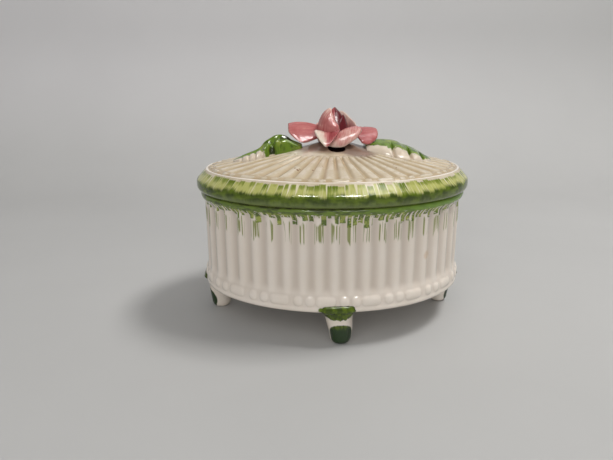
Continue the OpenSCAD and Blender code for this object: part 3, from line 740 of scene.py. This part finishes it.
def makeLid(s):
    rim = bodyHigh[2]
    crease = rim + 5.7
    ceiling = np.array([(a, domeHeight(a, s) - s["thick"]) for a in np.linspace(1.5, s["hollow"] - 2, 24)])
    under = roundRun([(s["hollow"] - 2, domeHeight(s["hollow"] - 2, s) - s["thick"]),
                      (s["hollow"], rim + 6), (s["hollow"], rim + 0.3), (s["hollow"] + 0.5, rim),
                      (62.0, rim)], 1.2)
    edge = roundRun([(62.0, rim), (63.2, rim + 0.2), (64.25, rim + 0.95), (64.85, rim + 2.1),
                     (64.99, rim + 3.3), (64.95, rim + 4.5), (64.72, rim + 5.3), (64.25, rim + 5.95),
                     (63.5, rim + 6.75), (62.5, rim + 7.8), (61.6, rim + 8.75), (61.0, rim + 9.35),
                     (60.55, rim + 9.75), (60.15, rim + 10.15), (59.7, rim + 10.25), (59.3, rim + 10.05),
                     (58.9, rim + 9.95), (58.4, rim + 10.25), (58.0, rim + 10.55)], 0.28)
    outIn = np.concatenate([np.linspace(57.7, 30, 62), np.linspace(29.4, 1.2, 36)])
    top = np.array([(a, domeHeight(a, s)) for a in outIn])
    profile = np.vstack([ceiling[:-1], under[:-1], edge, top])
    cols = s["ribs"] * s["perRib"]
    angle = np.linspace(math.pi / 2, math.pi / 2 + twoPi, cols + 1)
    a = profile[:, :1]
    z = profile[:, 1:]
    start = len(ceiling) + len(under) - 2
    shown = np.zeros_like(a)
    shown[start:] = 1
    phase = (np.degrees(angle)[None, :] - s["ribAt"]) * s["ribs"] / 360 * twoPi
    wide = 1 - ((1 + np.cos(phase)) / 2) ** 2.8      # broad ribs, narrow valleys
    # each rib has a round end at the bead border and another near the boss
    endIn = s["ribIn"] + 2.2 * (1 - wide)
    endOut = s["ribOut"] - 1.0 * (1 - wide)
    ribMask = ease(a, endIn - 1.2, endIn + 1.2) * (1 - ease(a, endOut - 0.8, endOut + 0.6)) * shown
    relief = s["ribRise"] * (wide - 0.6 - 0.12 * np.cos(phase)) * ribMask
    radius = np.hypot(*ringXY(58.2, angle))[None, :]
    beadMask = beadRelief(angle[None, :], a - 57.9, radius, s) * shown * (z > crease + 3.5)
    relief = relief + s["beadRise"] * beadMask
    hand = 0.08 * np.sin(3 * angle + 1.9) + 0.06 * np.sin(8 * angle + 0.4)
    uneven = hand[None, :] * shown * ease(a, 55, 60) * 0.6 - 0.15 * shown * ease(a, 60, 64)
    x, y = ringXY(a + uneven, angle[None, :])
    grid = np.stack([x, y, z + relief + hand[None, :] * shown * (a < 60)], 2)
    arc = arcLength(61.0, angle)
    border = ease(a, 56.4, 57.2) * (1 - ease(a, 58.9, 59.3)) * (z > crease + 3.5)
    pool = np.clip((1 - wide) * ribMask + 0.75 * border * (1 - ease(beadMask, 0.1, 0.6))
                   + 0.5 * ease(a, 55.5, 57) * (1 - ease(a, 57.0, 57.4)), 0, 1) * shown
    whiteLine = (shown > 0) & (np.abs(a - 59.9) < 0.36) & (z > rim + 9.7) & (z < rim + 10.4)
    pool = np.where(whiteLine, -1.0, pool)
    paintArc = np.where(shown > 0, arc[None, :] + 2, -9)
    paint = np.stack([paintArc, z + 0 * x, pool], 2)
    obj = addTurned("lidTop", grid[:, :-1], paint, creamGlaze)
    # the vent, drilled through the boss
    bpy.ops.mesh.primitive_cylinder_add(vertices=64, radius=s["ventRadius"] * mm, depth=16 * mm, location=(
        (roseX + s["ventOffset"][0]) * mm, s["ventOffset"][1] * mm, (crownZ - 2) * mm))
    drill = bpy.context.object
    cut = obj.modifiers.new("vent", "BOOLEAN")
    cut.operation, cut.solver, cut.object = "DIFFERENCE", "EXACT", drill
    depsgraph = bpy.context.evaluated_depsgraph_get()
    drilled = bpy.data.meshes.new_from_object(obj.evaluated_get(depsgraph))
    obj.modifiers.clear()
    obj.data = drilled
    bpy.data.objects.remove(drill)
    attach(obj, "lid")
    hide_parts("lid_shell")


makeLid(lidShape)
print("lid cast")


def petalSheet(s):
    # the middle line leans through the list of angles and the cross-section is an arc
    # u is -1 and 1 at the two edges
    t = np.linspace(0, 1, 36)[:, None]
    u = np.linspace(-1, 1, 33)[None, :]
    run = np.linspace(0, 1, 400)
    lean = np.radians(blendList(s["lean"], run))
    lean = np.convolve(np.pad(lean, 30, mode="edge"), np.ones(61) / 61, "valid")
    step = s["length"] / 399
    r = s["startR"] + np.concatenate([[0], np.cumsum(np.cos(lean))[:-1]]) * step
    z = s["startZ"] + np.concatenate([[0], np.cumsum(np.sin(lean))[:-1]]) * step
    drop = np.where(u < 0, s["drop"][0], s["drop"][1])
    point = t * (1 - drop * np.abs(u) ** s.get("dropPower", 2.2))
    rr, zz, ll = (np.interp(point, run, v) for v in (r, z, lean))
    width = s["halfWidth"] * blendList(s["outline"], t)
    bend = blendList(s["cup"], t) + 1e-6
    arc = u * width * bend
    lateral = np.sin(arc) / bend + s.get("sweep", 0) * t ** 1.5
    rise = (1 - np.cos(arc)) / bend
    rise = rise + s.get("wave", 0.0) * u ** 2 * t * np.sin(u * 4.0 + t * 5.0 + s["azimuth"])
    roll = np.radians(blendList(s["roll"], t))
    across = lateral * np.cos(roll) - rise * np.sin(roll)
    out = lateral * np.sin(roll) + rise * np.cos(roll)
    rr = rr - np.sin(ll) * out
    zz = zz + np.cos(ll) * out
    turn = math.radians(s["azimuth"])
    x = roseX + s.get("moveX", 0) + rr * math.cos(turn) - across * math.sin(turn)
    y = s.get("moveY", 0) + rr * math.sin(turn) + across * math.cos(turn)
    rim = np.minimum((1 - np.abs(u)) * 1.3, 1 - t)
    thick = s["thick"] * np.sqrt(np.clip(rim / 0.14, 0, 1)) * (1 - 0.25 * t)
    thick = np.where(t <= 0, s["thick"] * 0.6, np.maximum(thick, 0.02))
    edgeIn = 0.45 + 0.55 * ease(rim, 0.0, s.get("rimWide", 0.07))
    paints = []
    for side in ("outside", "inside"):
        tone = blendList(s[side], t) + blendList(s.get("sideTone", [0]), (u + 1) / 2)
        along = t * s["length"] + s["azimuth"] + 0 * u
        paints.append(np.stack([u * width + s["azimuth"] * 0.7, along, tone * edgeIn], 2))
    return np.stack([x, y, zz], 2), thick, paints


innerZ = crownZ - 0.6
outerZ = crownZ + 0.8
# azimuth is the way a petal points and startR, startZ its root; lean and roll are degrees from root to rim,
# cup is how sharply it curves across (1 / radius), outline is its width from root to rim against halfWidth,
# drop is how far its two corners fall short, and inside and outside are how deep its pink is, from 0 to 1
petals = {
    # the three that wrap the bud
    "petal_inner_left": dict(
        azimuth=200, startR=7.4, startZ=innerZ, length=17.6, halfWidth=10.8, lean=[84, 90, 100, 126, 150],
        cup=[0.135, 0.135, 0.14, 0.19, 0.3], roll=[0], outline=[0.85, 0.95, 1, 0.94, 0.66, 0.3],
        drop=(0.1, 0.1), inside=[0.9, 0.75, 0.6], outside=[0.72, 0.52, 0.42, 0.26], thick=1.1,
        rimWide=0.1),
    "petal_inner_right": dict(
        azimuth=-32, startR=6.2, startZ=innerZ, length=13.0, halfWidth=8.6, lean=[84, 92, 106, 114],
        cup=[0.15, 0.16, 0.2, 0.3], roll=[0], outline=[0.8, 0.95, 1, 0.8, 0.5, 0.15], drop=(0.1, 0.1),
        inside=[1.1], outside=[1.3, 1.3, 1.25], thick=0.9, rimWide=0.02),
    "petal_inner_back": dict(
        azimuth=66, startR=6.4, startZ=innerZ, length=14.4, halfWidth=12.4, lean=[76, 70, 72, 84],
        cup=[0.095, 0.085, 0.075], roll=[0], outline=[0.7, 0.9, 1, 1, 0.85, 0.6], drop=(0.42, 0.3),
        dropPower=1.5, inside=[0.6, 0.46, 0.34, 0.16], outside=[0.45, 0.3, 0.15], thick=0.9,
        rimWide=0.12),
    # the ones that open out
    "petal_left": dict(
        azimuth=180, startR=6.2, startZ=outerZ + 3.1, length=15.8, halfWidth=6.8, lean=[6, 4, 0, -4],
        cup=[-0.02, -0.035, -0.045], roll=[-52, -46, -40], outline=[0.5, 0.6, 0.76, 0.9, 1, 0.98],
        drop=(0.02, 0.34), dropPower=1.6, inside=[0.62, 0.46, 0.50], outside=[0.5, 0.4, 0.35], thick=1.2,
        rimWide=0.03, wave=0.4),
    "petal_front_left": dict(
        azimuth=262, moveX=-3.2, startR=4.6, startZ=outerZ + 3.6, length=10.8, halfWidth=6.0,
        lean=[-6, -28, -50, -54], cup=[0.05, 0.06, 0.07], roll=[4], outline=[1, 1, 0.92, 0.78, 0.6, 0.34],
        drop=(0.2, 0.2), inside=[0.5, 0.45, 0.25], outside=[0.35, 0.25, 0.1], thick=1.2,
        sideTone=[-0.5, -0.35, 0.3, 0.35]),
    "petal_front_right": dict(
        azimuth=266, moveX=5.0, startR=3.4, startZ=outerZ + 4.4, length=12.6, halfWidth=8.4,
        lean=[4, -16, -44, -66, -80], cup=[-0.03, -0.05, -0.06], roll=[16, 14, 8], sweep=-3.4,
        outline=[0.7, 0.9, 1, 1, 0.95, 0.8], drop=(0.14, 0.34), inside=[0.5, 0.36, 0.34, 0.26],
        outside=[0.3, 0.2, 0.1], thick=1.3, rimWide=0.1),
    "petal_right": dict(
        azimuth=-4, startR=6.2, startZ=outerZ + 2.6, length=14.6, halfWidth=7.2, lean=[8, -2, -8, -12],
        cup=[-0.02, -0.05, -0.07], roll=[12, 26, 36], outline=[0.5, 0.5, 0.62, 1, 1, 0.86],
        drop=(0.22, 0.06), inside=[0.62, 0.62, 0.58], outside=[0.3, 0.2, 0.1], thick=1.1, rimWide=0.05),
    "petal_back_left": dict(
        azimuth=128, startR=6.4, startZ=outerZ + 1.2, length=13.0, halfWidth=8.0, lean=[30, 20, 4, -10],
        cup=[0.05, 0.04, 0.02], roll=[0], outline=[0.5, 0.8, 1, 1, 0.85, 0.5], drop=(0.2, 0.2),
        inside=[0.6, 0.45, 0.4], outside=[0.4, 0.3, 0.2], thick=1.2, wave=0.5),
    "petal_back_right": dict(
        azimuth=50, startR=6.4, startZ=outerZ + 1.2, length=13.0, halfWidth=8.0, lean=[30, 20, 2, -12],
        cup=[0.05, 0.04, 0.02], roll=[0], outline=[0.5, 0.8, 1, 1, 0.85, 0.5], drop=(0.2, 0.2),
        inside=[0.6, 0.45, 0.4], outside=[0.4, 0.3, 0.2], thick=1.2, wave=0.5),
}


for node, settings in petals.items():
    middle, thick, paints = petalSheet(settings)
    obj = addSheet(camelName(node), middle, thick, paints, petalGlaze)
    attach(obj, "lid")
    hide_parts(node)
print("petals pinched")


# radii from the foot up; the lap is the rolled strip's thickness, and its edge leans between two angles
budShape = {
    "radii": [5.8, 6.4, 6.6, 6.4, 5.8, 4.8, 3.6, 2.2, 0.3], "lap": 0.7, "lapLow": -74, "lapHigh": -100,
}


def makeBud(s):
    # a strip of clay rolled up: one lap spirals round it, so its edge shows as a step
    low = crownZ - 0.5
    high = budHigh[2]
    t = np.linspace(0, 1, 60)[:, None]
    angle = np.linspace(0, twoPi, 97)[None, :]
    lapAt = np.radians(s["lapLow"] + (s["lapHigh"] - s["lapLow"]) * t)
    turn = ((angle - lapAt) / twoPi) % 1.0
    lap = s["lap"] * turn * (1 - t ** 3) * (1 - ease(turn, 0.97, 1.0))
    radius = np.interp(t, np.linspace(0, 1, len(s["radii"])), s["radii"]) + lap
    x = roseX + radius * np.cos(angle)
    y = radius * np.sin(angle)
    z = low + (high - low) * t + 0 * angle
    tone = 1.3 - 0.6 * ease(turn, 0.3, 0.6) + 0 * t
    paint = np.stack([angle * 6 + 0 * t, z, tone], 2)
    obj = addTurned("roseBud", np.stack([x, y, z], 2)[:, :-1], paint, petalGlaze)
    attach(obj, "lid")
    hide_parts("rose_bud")


makeBud(budShape)


baseShape = {"foot": 7.6, "waist": 6.6, "top": 8.6, "uneven": (0.04, 0.03)}


def makeBase(s):
    # the pad of clay under the flower, thumbed smooth
    low, high = boxMm("rose_base")
    cx, cy = (low[0] + high[0]) / 2, (low[1] + high[1]) / 2
    knots = [(3, low[2] - 0.2), (s["foot"], low[2]), (s["foot"] - 0.4, low[2] + 1.4),
             (s["waist"], low[2] + 2.6), (s["waist"] + 0.3, low[2] + 3.8), (s["top"], high[2] - 1.2),
             (s["top"] - 0.2, high[2] - 0.3), (6, high[2])]
    profile = roundRun(knots, 0.5)
    angle = np.linspace(0, twoPi, 73)
    uneven = s["uneven"][0] * np.sin(3 * angle) + s["uneven"][1] * np.sin(5 * angle + 1)
    r = profile[:, :1] * (1 + uneven)[None, :]
    x = cx + r * np.cos(angle)
    y = cy + r * np.sin(angle)
    z = profile[:, 1:] + 0 * x
    grid = np.stack([x, y, z], 2)
    paint = np.stack([angle * 6 + 0 * x, z, 0.12 + 0 * x], 2)
    obj = addTurned("roseBase", grid[:, :-1], paint, petalGlaze)
    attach(obj, "lid")
    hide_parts("rose_base")


makeBase(baseShape)
print("flower built")


def alongRun(pairs, t):
    # reads a smooth curve through (position, value) pairs
    run = roundRun(pairs, 0.02)
    return np.interp(t, run[:, 0], run[:, 1])


def leafGrid(s):
    t = np.linspace(0, 1, 130)[:, None]
    u = np.linspace(-1, 1, 72)[None, :]       # -1 is the edge towards -Y
    x = s["startX"] + (s["endX"] - s["startX"]) * t + 0 * u
    notch = sum(deep * np.exp(-((t - at) / wide) ** 2) for at, deep, wide in s["creases"])
    front = alongRun(s["front"], t) * (1 - 0.14 * np.minimum(notch, 1.2))
    back = alongRun(s["back"], t)
    y = u * np.where(u < 0, front, back)
    rise = alongRun(s["height"], t) * alongRun(s["section"], u)
    # the clay swells into a lobe between one crease and the next
    ends = [0] + [at for at, deep, wide in s["creases"]] + [1]
    lobe = sum(np.sin(math.pi * np.clip((t - a) / (b - a), 0, 1)) ** 0.7 for a, b in zip(ends, ends[1:]))
    rise = rise + s["lobe"] * (lobe - 0.5) * ease(-u, 0.25, 0.6) * (1 - ease(-u, 0.82, 1.0))
    rise = rise - notch * ease(-u, s["creaseFrom"], s["creaseFrom"] + 0.22) * (1 - ease(-u, 0.93, 1.0))
    under = domeAt(x, y, lidShape)
    top = np.stack([x, y, under + np.maximum(rise, 0) + 0.05], 2)
    low = np.stack([x, y, under - 0.9], 2)
    green = np.clip(0.5 + (blendList(s["greenTo"], t) + u) * 2.2, 0, 1)
    return top, low, np.stack([x, y, green], 2)


def makeLeaf(node, s):
    top, low, paint = leafGrid(s)
    rows, cols = top.shape[:2]
    points = np.vstack([top.reshape(-1, 3), low.reshape(-1, 3)])
    n = rows * cols
    flip = s["endX"] < s["startX"]
    faces, colours = [], []

    def put(corners):
        order = corners[::-1] if flip else corners
        faces.append(tuple(layer * n + i * cols + j for layer, i, j in order))
        colours.extend(paint[i, j] for layer, i, j in order)

    for i in range(rows - 1):
        for j in range(cols - 1):
            put([(0, i, j), (0, i + 1, j), (0, i + 1, j + 1), (0, i, j + 1)])
            put([(1, i, j), (1, i, j + 1), (1, i + 1, j + 1), (1, i + 1, j)])
    for i in range(rows - 1):
        put([(0, i, 0), (1, i, 0), (1, i + 1, 0), (0, i + 1, 0)])
        put([(0, i + 1, cols - 1), (1, i + 1, cols - 1), (1, i, cols - 1), (0, i, cols - 1)])
    for j in range(cols - 1):
        put([(0, 0, j + 1), (1, 0, j + 1), (1, 0, j), (0, 0, j)])
        put([(0, rows - 1, j), (1, rows - 1, j), (1, rows - 1, j + 1), (0, rows - 1, j + 1)])
    obj = addPiece(camelName(node), points, faces, greenGlaze, np.array(colours))
    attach(obj, "lid")
    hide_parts(node)


# all run from the flower (0) to the tip (1), apart from section, which runs across (-1 is the front edge);
# front and back are half widths, a crease is (place, depth, width), and greenTo is how far the green reaches
leaves = {
    "leaf_left": dict(
        startX=-14.5, endX=-48, creaseFrom=0.3, lobe=0.4,
        height=[(0, 1.2), (0.05, 2.4), (0.14, 4.4), (0.22, 6.8), (0.3, 8.0), (0.38, 8.1), (0.46, 7.1),
                (0.53, 6.0), (0.59, 4.0), (0.66, 3.0), (0.82, 1.9), (0.95, 0.6), (1, 0.05)],
        section=[(-1, 0), (-0.96, 0.34), (-0.86, 0.66), (-0.66, 0.82), (-0.46, 0.80), (-0.34, 0.62),
                 (-0.22, 0.66), (0.0, 0.96), (0.14, 1), (0.45, 0.88), (0.8, 0.5), (1, 0)],
        front=[(0, 2.5), (0.05, 4.4), (0.3, 5.8), (0.45, 6.6), (0.55, 8.6), (0.66, 9.6), (0.82, 9.2),
               (0.93, 6.2), (1, 1)],
        back=[(0, 2.5), (0.05, 4.5), (0.3, 8), (0.55, 7.5), (0.8, 5), (1, 0.8)],
        creases=[(0.31, 0.45, 0.012), (0.425, 3.2, 0.03), (0.56, 0.9, 0.018), (0.66, 0.7, 0.014),
                 (0.75, 0.6, 0.014), (0.85, 0.5, 0.014)],
        greenTo=[1.2, 1.2, 1.2, 1.2, 1.2, 1.05, 0.7, 0.42, 0.36, 0.42, 0.7]),
    "leaf_right": dict(
        startX=15.5, endX=48, creaseFrom=0.35, lobe=1.1,
        height=[(0, 1.6), (0.05, 2.8), (0.13, 4.3), (0.23, 5.3), (0.36, 5.8), (0.47, 5.7), (0.54, 4.9),
                (0.63, 4.5), (0.72, 3.8), (0.83, 2.5), (0.92, 1.2), (1, 0.05)],
        section=[(-1, 0), (-0.97, 0.16), (-0.86, 0.36), (-0.66, 0.56), (-0.44, 0.80), (-0.22, 0.95),
                 (0, 1), (0.4, 0.92), (0.8, 0.5), (1, 0)],
        front=[(0, 8.5), (0.1, 11), (0.3, 14.5), (0.5, 16), (0.7, 15.4), (0.85, 12.5), (0.94, 8),
               (1, 1.5)],
        back=[(0, 4), (0.1, 6), (0.4, 9), (0.7, 7), (1, 1)],
        creases=[(0.36, 1.0, 0.016), (0.6, 1.3, 0.018), (0.79, 1.1, 0.018)],
        greenTo=[0.5, 0.62, 0.66, 0.66, 0.62, 0.64, 0.7, 0.78, 0.84, 0.9, 0.96]),
}
for node, settings in leaves.items():
    makeLeaf(node, settings)
print("leaves laid")


# the seating flange keeps its CAD shape and takes the body's clear glaze
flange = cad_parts["lid_flange"]
flange.data.materials.clear()
flange.data.materials.append(whiteGlaze)
print("flange glazed")


# table, wall and light
stageShape = {
    "wallY": 420.0, "sweep": 170.0, "front": -1200.0, "high": 2500.0, "half": 3000.0,
    "low": "#aeaead", "lowPale": "#b6b6b5", "tall": "#c2c1c2", "tallPale": "#c8c7c8", "cloud": 100.0,
}


def addStage(s):
    # a pale table that sweeps up into a wall behind the box
    start = s["wallY"] - s["sweep"]
    path = [(s["front"], 0.0), (start, 0.0)]
    for k in range(1, 13):
        turn = k / 12 * math.pi / 2
        path.append((start + s["sweep"] * math.sin(turn), s["sweep"] - s["sweep"] * math.cos(turn)))
    path.append((s["wallY"], s["high"]))
    points, faces = [], []
    for y, z in path:
        points += [(-s["half"], y, z), (s["half"], y, z)]
    for k in range(len(path) - 1):
        faces.append((2 * k, 2 * k + 1, 2 * k + 3, 2 * k + 2))
    # rolled matt wall paint: no gloss, faint clouds
    material, tree = newGlaze("paleMattPaint")
    place = placeMm(tree)
    x, y, z = addNode(tree, "SeparateXYZ", place, every=True)
    shade = addNode(tree, "fade", z, 0.0, 150.0)
    # the wall is a little dimmer to the right, where the key light would wash it out
    dimmer = addNode(tree, "times", addNode(tree, "fade", x, -200.0, 500.0), 0.9)
    shade = addNode(tree, "times", shade, addNode(tree, "minus", 1.0, dimmer))
    plain = addNode(tree, "mix", shade, s["low"], s["tall"])
    pale = addNode(tree, "mix", shade, s["lowPale"], s["tallPale"])
    base = addNode(tree, "mix", addNode(tree, "noise", place, 1 / s["cloud"], 4), plain, pale)
    shader = addNode(tree, "BsdfPrincipled", {"Base Color": base, "Roughness": 0.7})
    addNode(tree, "OutputMaterial", {"Surface": shader})
    addPiece("paleTable", points, faces, material)


addStage(stageShape)

# places and sizes are in metres, powers in watts
lights = {
    # these shade the clay and make no highlights in the glaze
    "keyLight": dict(
        place=(0.46, -0.03, 1.0), size=(0.34, 0.22), power=7.2, tint=(1.0, 0.985, 0.965), gloss=False),
    "roomLight": dict(
        place=(-0.25, -1.3, 0.85), size=(1.6, 1.1), power=10.0, tint=(1.0, 0.985, 0.965), gloss=False),
    # these only make the highlights
    "ceilingGloss": dict(
        place=(0.46, -0.03, 1.0), size=(0.8, 0.3), power=4.2, tint=(1.0, 0.985, 0.965), gloss=True),
    "rightWindow": dict(
        place=(0.24, -0.66, 1.09), size=(0.25, 0.25), power=9.0, tint=(1.0, 0.99, 0.97), gloss=True),
    "leftWindow": dict(
        place=(-0.29, -0.64, 1.07), size=(0.13, 0.25), power=4.6, tint=(1.0, 0.99, 0.97), gloss=True),
}
room = {"tint": (0.82, 0.815, 0.81, 1), "strength": 0.36}


def addLight(name, s):
    data = bpy.data.lights.new(name, "AREA")
    data.shape, data.size, data.size_y = "RECTANGLE", s["size"][0], s["size"][1]
    data.energy, data.color = s["power"], s["tint"]
    obj = bpy.data.objects.new(name, data)
    bpy.context.scene.collection.objects.link(obj)
    obj.location = s["place"]
    obj.visible_glossy = s["gloss"]
    obj.visible_diffuse = not s["gloss"]
    aim = Vector((0, 0, 0.05)) - Vector(s["place"])
    obj.rotation_euler = aim.to_track_quat("-Z", "Y").to_euler()


for name, settings in lights.items():
    addLight(name, settings)
world = bpy.data.worlds.new("paleRoom")
world.use_nodes = True
world.node_tree.nodes["Background"].inputs[0].default_value = room["tint"]
world.node_tree.nodes["Background"].inputs[1].default_value = room["strength"]
bpy.context.scene.world = world
bpy.context.scene.view_settings.view_transform = "Standard"
print("stage lit")
